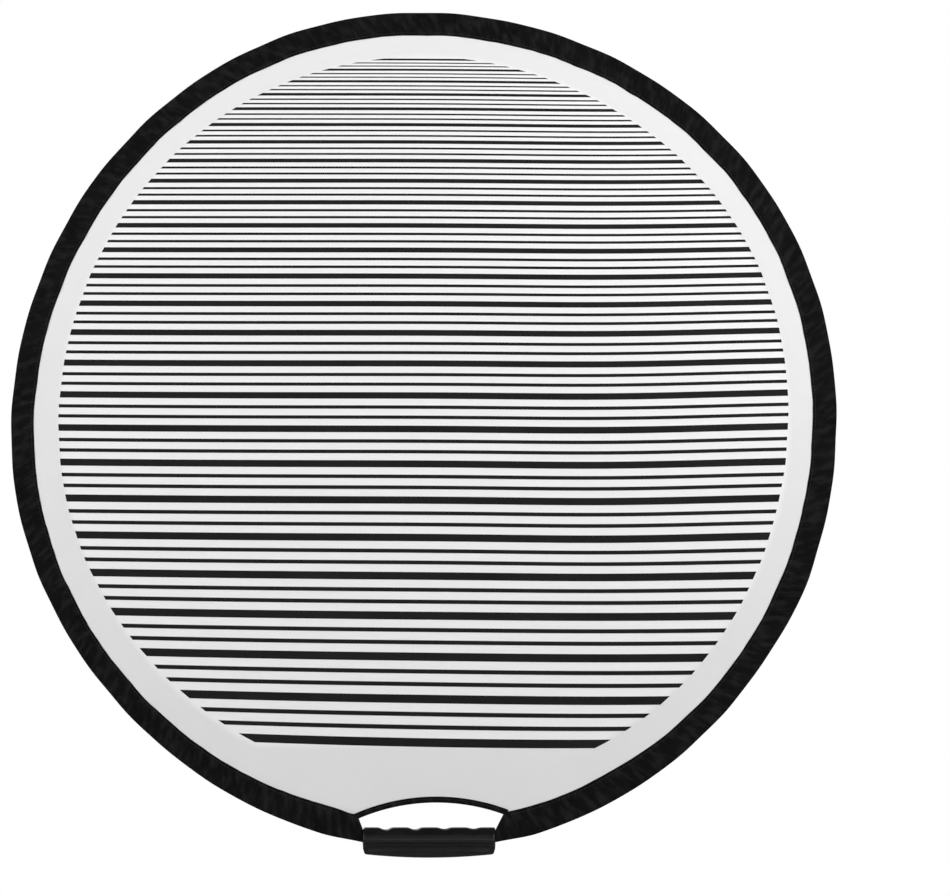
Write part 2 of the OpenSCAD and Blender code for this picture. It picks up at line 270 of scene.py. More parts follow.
def make_piece(name, points, faces, material, cut=None, angle=None):
    """A mesh object. cut is each point's place on the flat cloth in metres, for the weave."""
    mesh = bpy.data.meshes.new(name)
    mesh.from_pydata([tuple(p) for p in points], [], [tuple(int(i) for i in f) for f in faces])
    mesh.materials.append(material)
    mesh.polygons.foreach_set("use_smooth", [True] * len(mesh.polygons))
    if cut is not None:
        layer = mesh.uv_layers.new(name="cut")
        corner = np.zeros(len(mesh.loops), np.int32)
        mesh.loops.foreach_get("vertex_index", corner)
        layer.data.foreach_set("uv", np.asarray(cut, np.float32)[corner].ravel())
    piece = bpy.data.objects.new(name, mesh)
    bpy.context.scene.collection.objects.link(piece)
    if angle is not None:
        mesh.set_sharp_from_angle(angle=math.radians(angle))
    return piece


TAPERED_END = 0.55
TINY = 1e-12


def tubes(runs, radius, sides=6):
    """Round threads along runs of points, with closed ends: points, faces and places for the weave."""
    points, faces, cut = [], [], []
    turn = np.arange(sides) * 2 * math.pi / sides
    start = 0
    for run in runs:
        ahead = np.gradient(run, axis=0)
        ahead /= np.linalg.norm(ahead, axis=1)[:, None] + TINY
        across = np.cross(ahead, (0, 1, 0))
        across /= np.linalg.norm(across, axis=1)[:, None] + TINY
        up = np.cross(across, ahead)
        ring = across[:, None] * np.cos(turn)[:, None] + up[:, None] * np.sin(turn)[:, None]
        thick = np.full(len(run), radius)
        thick[[0, -1]] *= TAPERED_END
        points.append((run[:, None] + ring * thick[:, None, None]).reshape(-1, 3))
        along = np.concatenate([[0], np.cumsum(np.linalg.norm(np.diff(run, axis=0), axis=1))])
        cut.append(np.stack(np.meshgrid(turn * radius, along), -1).reshape(-1, 2))
        faces += grid_faces(len(run), sides, close_columns=True, start=start).tolist()
        faces.append(list(range(start, start + sides))[::-1])
        start += len(run) * sides
        faces.append(list(range(start - sides, start)))
    return np.concatenate(points), faces, np.concatenate(cut)


def cut_away(piece, cutter):
    """Takes one closed mesh out of another, and removes it."""
    take = piece.modifiers.new("cut", "BOOLEAN")
    take.operation = "DIFFERENCE"
    take.solver = "EXACT"
    take.object = cutter
    bpy.context.view_layer.objects.active = piece
    bpy.ops.object.modifier_apply(modifier=take.name)
    bpy.data.objects.remove(cutter)


# ---------------------------------------------------------------- shader helpers and groups

def link(tree, source, target):
    """Joins one socket to another."""
    tree.links.new(source, target)


def math_node(tree, operation, a, b=None):
    """One step of sums: a and b are numbers or sockets."""
    node = tree.nodes.new("ShaderNodeMath")
    node.operation = operation
    for socket, value in zip(node.inputs, (a, b)):
        if value is None:
            continue
        if isinstance(value, (int, float)):
            socket.default_value = value
        else:
            link(tree, value, socket)
    return node.outputs[0]


def mix_colours(tree, factor, a, b):
    """Colour a where the factor is 0 and colour b where it is 1."""
    node = tree.nodes.new("ShaderNodeMix")
    node.data_type = "RGBA"
    for socket, value in ((node.inputs[0], factor), (node.inputs[6], a), (node.inputs[7], b)):
        if isinstance(value, (int, float, tuple)):
            socket.default_value = value
        else:
            link(tree, value, socket)
    return node.outputs[2]


def ramp(tree, value, low, high, to_low=0.0, to_high=1.0):
    """A soft step between two values."""
    node = tree.nodes.new("ShaderNodeMapRange")
    node.interpolation_type = "SMOOTHSTEP"
    link(tree, value, node.inputs["Value"])
    for name, number in (("From Min", low), ("From Max", high), ("To Min", to_low), ("To Max", to_high)):
        node.inputs[name].default_value = number
    return node.outputs[0]


def noise(tree, vector, scale, detail=3.0, roughness=0.5):
    """A noise value at each point."""
    node = tree.nodes.new("ShaderNodeTexNoise")
    link(tree, vector, node.inputs["Vector"])
    node.inputs["Scale"].default_value = scale
    node.inputs["Detail"].default_value = detail
    node.inputs["Roughness"].default_value = roughness
    return node.outputs["Fac"]


def new_group(name, inputs, outputs):
    """An empty shader node group with named sockets."""
    group = bpy.data.node_groups.new(name, "ShaderNodeTree")
    for socket_name, kind, value in inputs:
        socket = group.interface.new_socket(name=socket_name, in_out="INPUT", socket_type=kind)
        if value is not None:
            socket.default_value = value
    for socket_name, kind in outputs:
        group.interface.new_socket(name=socket_name, in_out="OUTPUT", socket_type=kind)
    return group, group.nodes.new("NodeGroupInput").outputs, group.nodes.new("NodeGroupOutput").inputs


def scaled_vector(tree, vector, scale):
    node = tree.nodes.new("ShaderNodeVectorMath")
    node.operation = "SCALE"
    link(tree, vector, node.inputs[0])
    link(tree, scale, node.inputs["Scale"])
    return node.outputs[0]


def make_weave_group():
    """Plain weave: warp and weft threads that pass over and under each other, with uneven yarn."""
    group, given, made = new_group(
        "plain_weave",
        [("Cut", "NodeSocketVector", None), ("Threads per metre", "NodeSocketFloat", 1600.0),
         ("Rib", "NodeSocketFloat", 0.5)],
        [("Height", "NodeSocketFloat"), ("Gap", "NodeSocketFloat"), ("Yarn", "NodeSocketFloat")])
    place = group.nodes.new("ShaderNodeSeparateXYZ")
    link(group, scaled_vector(group, given["Cut"], given["Threads per metre"]), place.inputs[0])
    across, along = place.outputs[0], place.outputs[1]
    warp, weft = (
        math_node(group, "ABSOLUTE", math_node(group, "SINE", math_node(group, "MULTIPLY", way, math.pi)))
        for way in (across, along))
    steps = math_node(group, "ADD", math_node(group, "FLOOR", across), math_node(group, "FLOOR", along))
    over = math_node(group, "PINGPONG", steps, 1.0)
    picked = math_node(group, "MULTIPLY", warp, over)
    other = math_node(group, "MULTIPLY", weft, math_node(group, "SUBTRACT", 1.0, over))
    woven = math_node(group, "ADD", picked, other)
    ribbed = math_node(group, "MULTIPLY", warp, given["Rib"])
    yarn = noise(group, scaled_vector(group, given["Cut"], given["Threads per metre"]), 0.23, 3.0, 0.6)
    uneven = math_node(group, "MULTIPLY", yarn, 0.5)
    link(group, math_node(group, "ADD", math_node(group, "ADD", woven, ribbed), uneven), made["Height"])
    link(group, ramp(group, woven, 0.0, 0.45, 1.0, 0.0), made["Gap"])
    link(group, yarn, made["Yarn"])
    return group


def make_mottle_group():
    """Slow unevenness of a finish: broad cloudy patches and finer specks of dust and lint."""
    group, given, made = new_group(
        "mottle",
        [("Place", "NodeSocketVector", None), ("Patches per metre", "NodeSocketFloat", 12.0)],
        [("Patch", "NodeSocketFloat"), ("Lint", "NodeSocketFloat")])
    place = scaled_vector(group, given["Place"], given["Patches per metre"])
    link(group, ramp(group, noise(group, place, 1.0, 4.0, 0.55), 0.3, 0.7), made["Patch"])
    link(group, ramp(group, noise(group, place, 37.0, 5.0, 0.7), 0.6, 0.78), made["Lint"])
    return group


def make_brushed_group():
    """Drawn or rolled metal: fine streaks along the length, and faint oil blotches."""
    group, given, made = new_group(
        "drawn_metal",
        [("Place", "NodeSocketVector", None)],
        [("Streak", "NodeSocketFloat"), ("Blotch", "NodeSocketFloat")])
    stretch = group.nodes.new("ShaderNodeMapping")
    stretch.inputs["Scale"].default_value = (120, 5200, 5200)
    link(group, given["Place"], stretch.inputs["Vector"])
    link(group, noise(group, stretch.outputs[0], 1.0, 3.0, 0.6), made["Streak"])
    link(group, noise(group, given["Place"], 160.0, 4.0, 0.6), made["Blotch"])
    return group


def make_wear_group():
    """Rubbed edges: where the surface is convex, broken up by noise."""
    group, given, made = new_group(
        "rubbed_edges",
        [("Place", "NodeSocketVector", None), ("Start", "NodeSocketFloat", 0.53),
         ("End", "NodeSocketFloat", 0.62)],
        [("Rub", "NodeSocketFloat")])
    shape = group.nodes.new("ShaderNodeNewGeometry")
    edge = group.nodes.new("ShaderNodeMapRange")
    link(group, shape.outputs["Pointiness"], edge.inputs["Value"])
    link(group, given["Start"], edge.inputs["From Min"])
    link(group, given["End"], edge.inputs["From Max"])
    broken = ramp(group, noise(group, given["Place"], 420.0, 4.0, 0.65), 0.35, 0.7)
    link(group, math_node(group, "MULTIPLY", edge.outputs[0], broken), made["Rub"])
    return group


WEAVE = make_weave_group()
MOTTLE = make_mottle_group()
DRAWN = make_brushed_group()
WEAR = make_wear_group()


class Finish:
    """A material with its shader, and the shared groups placed in it with their own values."""

    def __init__(self, name, on_cloth=False, **settings):
        self.material = bpy.data.materials.new(name)
        self.material.use_nodes = True
        self.tree = self.material.node_tree
        self.shader = self.tree.nodes["Principled BSDF"]
        for socket, value in settings.items():
            self.shader.inputs[socket.replace("_", " ")].default_value = value
        if on_cloth:
            source = self.tree.nodes.new("ShaderNodeUVMap")
            source.uv_map = "cut"
            self.place = source.outputs[0]
        else:
            self.place = self.tree.nodes.new("ShaderNodeTexCoord").outputs["Object"]

    def group(self, group, **values):
        """Places a shared group with its own values, and gives its outputs."""
        node = self.tree.nodes.new("ShaderNodeGroup")
        node.node_tree = group
        link(self.tree, self.place, node.inputs[0])
        for name, value in values.items():
            node.inputs[name.replace("_", " ")].default_value = value
        return node.outputs

    def colour(self, value):
        link(self.tree, value, self.shader.inputs["Base Color"])

    def rough(self, value):
        link(self.tree, value, self.shader.inputs["Roughness"])

    def bump(self, height, distance, strength=1.0):
        node = self.tree.nodes.new("ShaderNodeBump")
        node.inputs["Distance"].default_value = distance
        node.inputs["Strength"].default_value = strength
        link(self.tree, height, node.inputs["Height"])
        link(self.tree, node.outputs[0], self.shader.inputs["Normal"])


def grey(value, warm=0.0):
    """A grey, a little warm where asked."""
    return (value * (1 + warm), value, value * (1 - warm), 1.0)


def print_ground(finish):
    """The white ground that the lines are printed on. It fades into the plain margin."""
    off = finish.tree.nodes.new("ShaderNodeVectorMath")
    off.operation = "DISTANCE"
    off.inputs[1].default_value = (DISC[0], DISC[1] + PRINT_RISE, 0)
    link(finish.tree, finish.place, off.inputs[0])
    inside = ramp(finish.tree, off.outputs["Value"], PRINT_R - 4 * MM, PRINT_R + 3 * MM, 1.0, 0.0)
    height = finish.tree.nodes.new("ShaderNodeSeparateXYZ")
    link(finish.tree, finish.place, height.inputs[0])
    foot = DISC[1] - PRINT_DROP
    above = ramp(finish.tree, height.outputs[1], foot - 3 * MM, foot + 3 * MM)
    return math_node(finish.tree, "MULTIPLY", inside, above)


def woven_cloth(name, white, gap_dark, warm, ground=0.0):
    """White polyester, darker in the gaps of its weave, with a whiter ground where it is printed."""
    finish = Finish(name, on_cloth=True, Specular_IOR_Level=0.25, Sheen_Weight=0.08, Sheen_Roughness=0.5)
    weave = finish.group(WEAVE, Threads_per_metre=1500.0, Rib=0.25)
    mottle = finish.group(MOTTLE, Patches_per_metre=9.0)
    tone = mix_colours(finish.tree, mottle["Patch"], grey(white * 0.985, warm), grey(white, warm))
    if ground:
        tone = mix_colours(finish.tree, print_ground(finish), tone, grey(ground, warm))
    shade = math_node(finish.tree, "MULTIPLY", weave["Gap"], gap_dark)
    tone = mix_colours(finish.tree, shade, tone, grey(white * 0.55, warm))
    finish.colour(tone)
    finish.rough(ramp(finish.tree, weave["Yarn"], 0.2, 0.8, 0.62, 0.78))
    finish.bump(weave["Height"], 0.06 * MM, 0.5)
    return finish.material


def printed_ink():
    """Black ink that the weave shows through a little."""
    finish = Finish("line_ink", on_cloth=True, Specular_IOR_Level=0.16)
    weave = finish.group(WEAVE, Threads_per_metre=1500.0, Rib=0.25)
    mottle = finish.group(MOTTLE, Patches_per_metre=14.0)
    tone = mix_colours(finish.tree, mottle["Patch"], grey(0.0062), grey(0.0095))
    thin = math_node(finish.tree, "MULTIPLY", weave["Gap"], 0.12)
    finish.colour(mix_colours(finish.tree, thin, tone, grey(0.05)))
    finish.rough(ramp(finish.tree, weave["Yarn"], 0.2, 0.8, 0.5, 0.68))
    finish.bump(weave["Height"], 0.05 * MM, 0.4)
    return finish.material


def black_tape():
    """Ribbed black tape with paler slanting streaks painted on as light catching its drag lines, and a little
    lint.
    """
    finish = Finish("binding_tape", on_cloth=True, Specular_IOR_Level=0.1, Sheen_Weight=0.02,
                    Sheen_Roughness=0.4)
    weave = finish.group(WEAVE, Threads_per_metre=900.0, Rib=0.9)
    mottle = finish.group(MOTTLE, Patches_per_metre=26.0)
    slant = finish.tree.nodes.new("ShaderNodeMapping")
    slant.inputs["Rotation"].default_value = (0, 0, math.radians(28))
    link(finish.tree, finish.place, slant.inputs["Vector"])
    drag = finish.tree.nodes.new("ShaderNodeMapping")
    drag.inputs["Scale"].default_value = (60, 150, 1)
    link(finish.tree, slant.outputs[0], drag.inputs["Vector"])
    # Painted highlight: paler slanting streaks of colour that stand for light catching the tape's drag lines
    drag_line_light = ramp(finish.tree, noise(finish.tree, drag.outputs[0], 1.0, 2.0, 0.5), 0.42, 0.7)
    tone = mix_colours(finish.tree, mottle["Patch"], grey(0.0018), grey(0.0038))
    tone = mix_colours(finish.tree, drag_line_light, tone, grey(0.0125))
    tone = mix_colours(finish.tree, math_node(finish.tree, "MULTIPLY", weave["Gap"], 0.5), tone, grey(0.002))
    tone = mix_colours(finish.tree, math_node(finish.tree, "MULTIPLY", mottle["Lint"], 0.1), tone, grey(0.06))
    finish.colour(tone)
    finish.rough(ramp(finish.tree, weave["Yarn"], 0.2, 0.8, 0.66, 0.86))
    finish.bump(weave["Height"], 0.16 * MM, 0.7)
    return finish.material


def black_thread():
    """Twisted black thread."""
    finish = Finish("thread", on_cloth=True, Specular_IOR_Level=0.25, Sheen_Weight=0.05)
    ply = finish.tree.nodes.new("ShaderNodeTexWave")
    ply.bands_direction = "DIAGONAL"
    ply.inputs["Scale"].default_value = 900
    ply.inputs["Distortion"].default_value = 1.5
    link(finish.tree, finish.place, ply.inputs["Vector"])
    finish.colour(mix_colours(finish.tree, ply.outputs["Fac"], grey(0.008), grey(0.022)))
    finish.rough(ramp(finish.tree, ply.outputs["Fac"], 0.0, 1.0, 0.7, 0.5))
    finish.bump(ply.outputs["Fac"], 0.06 * MM, 0.6)
    return finish.material


def steel(name, dark, light, rough_low, rough_high, on_cloth=False):
    """Drawn steel, brighter on its rubbed edges."""
    finish = Finish(name, on_cloth=on_cloth, Metallic=1.0)
    metal = finish.group(DRAWN)
    worn = finish.group(WEAR, Start=0.52, End=0.6)
    tone = mix_colours(finish.tree, metal["Blotch"], dark, light)
    tone = mix_colours(finish.tree, worn["Rub"], tone, grey(0.72))
    finish.colour(tone)
    finish.rough(ramp(finish.tree, metal["Streak"], 0.25, 0.75, rough_low, rough_high))
    finish.bump(metal["Streak"], 0.02 * MM, 0.35)
    return finish.material


def satin_moulding():
    """Black moulded plastic with a fine grain, polished a little where hands rub it."""
    finish = Finish("moulded_grip", Specular_IOR_Level=0.3)
    mottle = finish.group(MOTTLE, Patches_per_metre=60.0)
    worn = finish.group(WEAR, Start=0.515, End=0.58)
    grain = noise(finish.tree, finish.place, 2600.0, 3.0, 0.55)
    tone = mix_colours(finish.tree, mottle["Patch"], grey(0.0018), grey(0.003))
    tone = mix_colours(finish.tree, math_node(finish.tree, "MULTIPLY", worn["Rub"], 0.3), tone, grey(0.03))
    tone = mix_colours(finish.tree, math_node(finish.tree, "MULTIPLY", mottle["Lint"], 0.08), tone, grey(0.1))
    finish.colour(tone)
    matt = ramp(finish.tree, mottle["Patch"], 0.0, 1.0, 0.34, 0.41)
    polish = math_node(finish.tree, "MULTIPLY", worn["Rub"], 0.1)
    finish.rough(math_node(finish.tree, "SUBTRACT", matt, polish))
    finish.bump(grain, 0.04 * MM, 0.55)
    return finish.material


FRONT_WHITE = woven_cloth("printed_cloth", 0.84, 0.1, 0.0, ground=0.94)
BACK_WHITE = woven_cloth("back_cloth", 0.82, 0.14, 0.012)
INK = printed_ink()
TAPE = black_tape()
THREAD = black_thread()
DARK_BLUE = (0.16, 0.19, 0.25, 1)
PALE_BLUE = (0.3, 0.32, 0.36, 1)
BLUED = steel("spring_steel", DARK_BLUE, PALE_BLUE, 0.28, 0.42, on_cloth=True)
ZINC = steel("crimped_steel", grey(0.52), grey(0.66), 0.34, 0.5)
NICKEL = steel("screw_steel", grey(0.5, 0.02), grey(0.62, 0.02), 0.22, 0.36)
MOULDING = satin_moulding()


# ---------------------------------------------------------------- cloth faces and printed lines

TAPE_ROOM = 0.02 * MM
SPOKES = 600
RINGS = np.concatenate([np.linspace(0.025, 0.88, 34), np.linspace(0.89, 1, 14)])


def cloth_edge(angle):
    """The cloth reaches under the binding, and stops just inside the tape of the hand opening's arch."""
    arch = ray(angle, ARCH_CENTRE, ARCH_R + TAPE_T + TAPE_ROOM, side=-1)
    return np.minimum(CLOTH_R + out_of_round(angle), arch)


def make_cloth(name, side, material):
    """One face of cloth, a closed sheet on rings that close up towards the seam. The front's side is -1."""
    angles = np.linspace(-math.pi, math.pi, SPOKES + 1)[:-1]
    flat = at(angles[None, :], RINGS[:, None] * cloth_edge(angles)[None, :]).reshape(-1, 2)
    flat = np.concatenate([flat, [DISC]])
    y = cloth_lift(flat[:, 0], flat[:, 1])
    layers = [np.stack([flat[:, 0], y + side * depth, flat[:, 1]], 1) for depth in (CLOTH_FACE, CLOTH_NEAR)]
    count, rows, columns = len(flat), len(RINGS), SPOKES
    face = grid_faces(rows, columns, close_columns=True).tolist()
    face += [[count - 1, (j + 1) % columns, j] for j in range(columns)]
    outer = face if side < 0 else flipped(face)
    inner = [[i + count for i in f] for f in (flipped(face) if side < 0 else face)]
    last = (rows - 1) * columns
    strip = [[last + j, last + count + j, last + count + (j + 1) % columns, last + (j + 1) % columns]
             for j in range(columns)]
    faces = outer + inner + (flipped(strip) if side < 0 else strip)
    return make_piece(name, np.concatenate(layers), faces, material, np.concatenate([flat, flat]))


# How the print was pulled out of true, in metres from its centre: tilt by height, and a sag to the right
TILT_HEIGHTS, TILTS = (-0.31, -0.09, 0.05, 0.3), (-0.015, 0, 0.0035, 0)
SAG_X, SAG_WIDE = 0.18, 0.13
SHORTEST_HALF_BAR = 20 * MM


def line_place(x, z):
    """Where the print really lies on the cloth, which was stretched unevenly: X and Z from its centre."""
    half = np.sqrt(np.maximum(PRINT_R ** 2 - (z - PRINT_RISE) ** 2, SHORTEST_HALF_BAR ** 2))
    tilt = np.interp(z, TILT_HEIGHTS, TILTS)
    smile = 2 * MM * (x / half) ** 2 * (1 - smooth(z / 0.28))
    slack = 1.8 * MM * np.sin(math.pi * (z - 0.026) / 0.337) - 0.4 * MM * smooth((z + 0.17) / 0.1)
    sag_by_height = 0.4 + 0.6 * smooth((z + 0.19) / 0.09) - 0.3 * smooth(z / 0.3)
    sag = 2.3 * MM * bell(x - SAG_X, SAG_WIDE) * sag_by_height
    return x, z + tilt * x + smile + slack - sag


def make_lines(columns=81):
    """Every printed bar as its own thin closed strip of ink that follows the cloth."""
    points, faces, cut = [], [], []
    start = 0
    top_edge = PRINT_RISE + PRINT_R - 1 * MM
    share = np.linspace(-1, 1, columns)
    for group in range(int(FIRST_GROUP / GROUP_STEP)):
        height = FIRST_GROUP - group * GROUP_STEP
        foot = -PRINT_DROP + group * FIRST_GROUP - GROUP_STEP * group * (group - 1) / 2
        for first, parts in BARS:
            z = foot + height / GROUP_PARTS * np.linspace(first, first + parts, 3)[:, None]
            if z[-1, 0] > top_edge:
                continue
            half = np.sqrt(PRINT_R ** 2 - (z - PRINT_RISE) ** 2)
            spread = half + out_of_round(np.arctan2(share * half, -z))
            x, z = line_place(share * spread, z + 0 * share)
            flat = np.stack([x, z], -1).reshape(-1, 2) + DISC
            y = cloth_lift(flat[:, 0], flat[:, 1]) - CLOTH_FACE - INK_GAP
            for depth in (INK_T, 0):
                points.append(np.stack([flat[:, 0], y - depth, flat[:, 1]], 1))
                cut.append(flat)
            count = len(flat)
            top = grid_faces(3, columns, start=start)[:, ::-1]
            faces += top[:, ::-1].tolist() + (top + count).tolist()
            border = list(range(columns)) + [2 * columns - 1]
            border += list(range(3 * columns - 1, 2 * columns - 1, -1)) + [columns]
            for i, k in enumerate(border):
                after = border[(i + 1) % len(border)]
                faces.append([start + k, start + count + k, start + count + after, start + after])
            start += 2 * count
    return make_piece("printed_lines", np.concatenate(points), faces, INK, np.concatenate(cut), angle=40)


# ---------------------------------------------------------------- rim binding

def tape_width(angle):
    """Width of the binding from its outer edge to its inner one."""
    return band_line(angle) + BAND_OUT - seam_line(angle)


def from_centre(flat):
    """Direction and distance of points from the disc's centre."""
    to = flat - DISC
    return np.arctan2(to[:, 0], -to[:, 1]), np.hypot(to[:, 0], to[:, 1])


HEM_FOOT = -2 * MM
HEM_LAP = 15 * MM
HEM_STEPS = 600


def hem_angles(side):
    """Directions of the binding's slanted end, and their shares across the tape from its outer edge."""
    inner = CORNERS[side] + np.array([side * HEM_LAP, HEM_LAP])
    corners = np.array([[side * HEM_X, HEM_FOOT], [side * HEM_X, HEM_Z], CORNERS[side], inner])
    t = np.linspace(0, len(corners) - 1, HEM_STEPS)
    line = np.stack([np.interp(t, np.arange(len(corners)), corners[:, k]) for k in (0, 1)], 1)
    angle, r = from_centre(line)
    across = (band_line(angle) + BAND_OUT - r) / tape_width(angle)
    order = np.argsort(across)
    return across[order], angle[order]


FAN_END = math.radians(17.5)
FAN_STATIONS = 22


def tape_angles(across, stations):
    """Directions of every station of the tape, from the right hem to the left one, at each share across."""
    ends = {side: np.interp(across, *hem_angles(side)) for side in (-1, 1)}
    middle = {side: side * FAN_END for side in (-1, 1)}
    t = np.linspace(0, 1, FAN_STATIONS)[:, None]
    right = ends[1][None, :] * (1 - t) + middle[1] * t
    left = ends[-1][None, :] * (1 - t) + middle[-1] * t
    sweep = np.linspace(middle[1], 2 * math.pi + middle[-1], stations)[1:-1, None] + 0 * across[None, :]
    return np.concatenate([right, sweep, left[::-1] + 2 * math.pi])


# Height, waves round the rim, slant across the tape, phase
WRINKLES = ((1.0, 163, 0.9, 0.2), (0.8, 257, -1.6, 1.1), (0.7, 101, 2.3, 3.3), (0.55, 389, 0.6, 5.0),
            (0.6, 67, -2.8, 2.2))
SEAM_IN = 2.6 * MM
HEM_EXTRA = 0.72 * MM
FULL_OVER = 3.2 * MM
FLAT_AFTER = 8.5 * MM


def wrinkle(angle, share):
    """Drag lines in the tape, from about -1 to 1. They slant from the seam to the edge, in patches."""
    patch = 0.55 + 0.45 * np.sin(3 * angle + 1.0) * np.sin(7 * angle + 0.5)
    ridges = sum(height * np.sin(count * angle + slant * share * 2 + phase)
                 for height, count, slant, phase in WRINKLES)
    return patch * ridges / 2


def tape_depth(angle, d, width):
    """Half depth of the binding's outside at a distance in from its outer edge."""
    near_hem = 1 - smooth((np.abs(wrapped(angle)) - math.radians(10.5)) / math.radians(4))
    flat = SEAM_DEPTH + HEM_EXTRA * near_hem
    fall = smooth((d - FULL_OVER) / FLAT_AFTER)
    stitch = width - SEAM_IN
    pinch = 0.2 * MM * bell(d - stitch, 0.8 * MM)
    slack = fall * smooth((stitch - d) / (3 * MM) + 0.25)
    depth = RIM_DEPTH + (flat - RIM_DEPTH) * fall - pinch * (1 - 0.6 * near_hem)
    drag = 0.12 + 0.7 * np.maximum(wrinkle(angle, d / width) + 0.35, 0)
    return depth + drag * slack * MM


def tape_outer(angle, share, depth_share=1.0):
    """Points of the binding's outside: X and Z, and half depth."""
    width = tape_width(angle)
    d = share * width
    edge = 0.22 * MM * wrinkle(angle * 0.5 + 2, 0.5) * smooth((share - 0.8) / 0.2)
    flat = at(angle, band_line(angle) + BAND_OUT - d + edge)
    return flat, tape_depth(angle, d, width) * depth_share


BINDING_STATIONS = 1420


def make_binding():
    """The tape folded round the hoop: one closed C-shaped section carried from hem to hem.

    A point of half the section is its share across the tape and its share of the outside's depth.
    """
    turn_in = [(0, 0.0), (0, 0.42), (0, 0.76), (0.006, 0.88), (0.018, 0.965), (0.04, 1)]
    plain = [(s, 1) for s in (0.08, 0.13, 0.18, 0.24, 0.3, 0.37, 0.45, 0.53, 0.62, 0.71, 0.79, 0.84)]
    hem = [(s, 1) for s in (0.868, 0.882, 0.9, 0.93, 0.965, 0.99)] + [(1, 0.86)]
    lining = [(0.998, 0.6), (0.88, 0.6), (0.6, 0.6), (0.35, 0.68), (0.13, 0.83), (0.05, 0.83),
              (0.0235, 0.79), (0.0235, 0)]
    half = turn_in + plain + hem + lining
    section = half + [(s, -k) for s, k in half[-2:0:-1]]
    share = np.array([s for s, _ in section])
    depth_share = np.array([k for _, k in section])
    angle = tape_angles(share, BINDING_STATIONS)
    flat, depth = tape_outer(angle, share[None, :] + 0 * angle, depth_share[None, :])
    y = -depth + cloth_seat(flat)
    points = np.stack([flat[..., 0], y, flat[..., 1]], -1).reshape(-1, 3)
    rows, columns = angle.shape
    faces = grid_faces(rows, columns, close_columns=True).tolist()
    faces += [list(range(columns))[::-1], list(range((rows - 1) * columns, rows * columns))]
    steps = np.diff(share, prepend=0) * BINDING_W, np.diff(depth_share, prepend=0) * RIM_DEPTH
    across = np.cumsum(np.hypot(*steps))
    cut = np.stack([across[None, :] + 0 * angle, angle * BAND_R], -1).reshape(-1, 2)
    return make_piece("rim_binding", points, faces, TAPE, cut, angle=60)


# ---------------------------------------------------------------- seams

RIM_PITCH = 3.3 * MM
RIM_SEAM_SHARE = 0.881
ARCH_PITCH = 3.0 * MM
ARCH_SEAM_IN = 3.6 * MM
ALONG_STITCH = np.linspace(0, 1, 6)
STITCH_ARCH = np.sin(math.pi * ALONG_STITCH) ** 0.6


def threads(runs):
    """What make_piece needs for a seam."""
    points, faces, cut = tubes(runs, THREAD_R)
    return points, faces, THREAD, cut


def stitch_runs(angles, share, length_share=0.86, sink=0.36 * MM):
    """Single stitches on both faces of the binding: each dives into the tape at its ends."""
    runs = []
    step = angles[1] - angles[0]
    for side in (-1, 1):
        for first in angles[:-1]:
            angle = first + ALONG_STITCH * step * length_share
            flat, depth = tape_outer(angle, share + 0 * angle)
            away = depth + THREAD_R * 0.5 - sink * (1 - STITCH_ARCH)
            runs.append(np.stack([flat[:, 0], side * away + cloth_seat(flat), flat[:, 1]], 1))
    return runs


def make_rim_stitching():
    """The seam along the binding's inner edge, from hem to hem."""
    first, last = math.radians(12.6), 2 * math.pi - math.radians(12.2)
    angles = np.arange(first, last, RIM_PITCH / SEAM_R)
    return make_piece("rim_stitching", *threads(stitch_runs(angles, RIM_SEAM_SHARE)))


def arch_place(angle, r):
    """A point at an angle from straight up about the arch's centre: X and Z."""
    return ARCH_CENTRE + np.stack([np.sin(angle) * r, np.cos(angle) * r], -1)


def arch_angle(side, past):
    """Angle of one corner of the opening about the arch's centre, carried on by a length past it."""
    to = CORNERS[side] - ARCH_CENTRE
    return math.atan2(to[0], to[1]) + side * past / ARCH_R


ARCH_TAPE_WIDER = 1.08
ARCH_TAPE_LAP = 3 * MM


def make_opening_binding():
    """Bias tape folded over the arched edge of both cloths. Its ends run in under the rim binding."""
    outside = [(0, 0), (0, 0.6), (0.25, 0.98), (0.8, 1.12), (1.6, 1.16), (2.7, 1.14), (3.6, 1.03),
               (4.5, 1.12),
               (5.2, 1.14), (5.48, 1.04)]
    inside = [(5.46, 0.72), (3.6, 0.68), (1.2, 0.68), (0.5, 0.66), (0.5, 0)]
    half = outside + inside
    section = np.array(half + [(r, -y) for r, y in half[-2:0:-1]]) * MM
    section *= np.array([ARCH_TAPE_WIDER, SEAM_DEPTH / (1.15 * MM)])
    angle = np.linspace(arch_angle(-1, ARCH_TAPE_LAP), arch_angle(1, ARCH_TAPE_LAP), 181)
    ripple = 0.036 * (np.sin(angle * 210) + np.sin(angle * 331 + 1))[:, None] * (section[:, 0] > 2 * MM)
    flat = arch_place(angle[:, None], ARCH_R + section[None, :, 0])
    y = -section[None, :, 1] * (1 + ripple) + cloth_seat(flat)
    points = np.stack([flat[..., 0], y, flat[..., 1]], -1).reshape(-1, 3)
    rows, columns = len(angle), len(section)
    faces = grid_faces(rows, columns, close_columns=True)[:, ::-1].tolist()
    faces += [list(range(columns)), list(range((rows - 1) * columns, rows * columns))[::-1]]
    across = np.cumsum(np.linalg.norm(np.diff(section, axis=0, prepend=section[:1]), axis=1))
    cut = np.stack([across[None, :] + 0 * angle[:, None], angle[:, None] * ARCH_R + 0 * across[None, :]], -1)
    return make_piece("arch_tape", points, faces, TAPE, cut.reshape(-1, 2), angle=60)


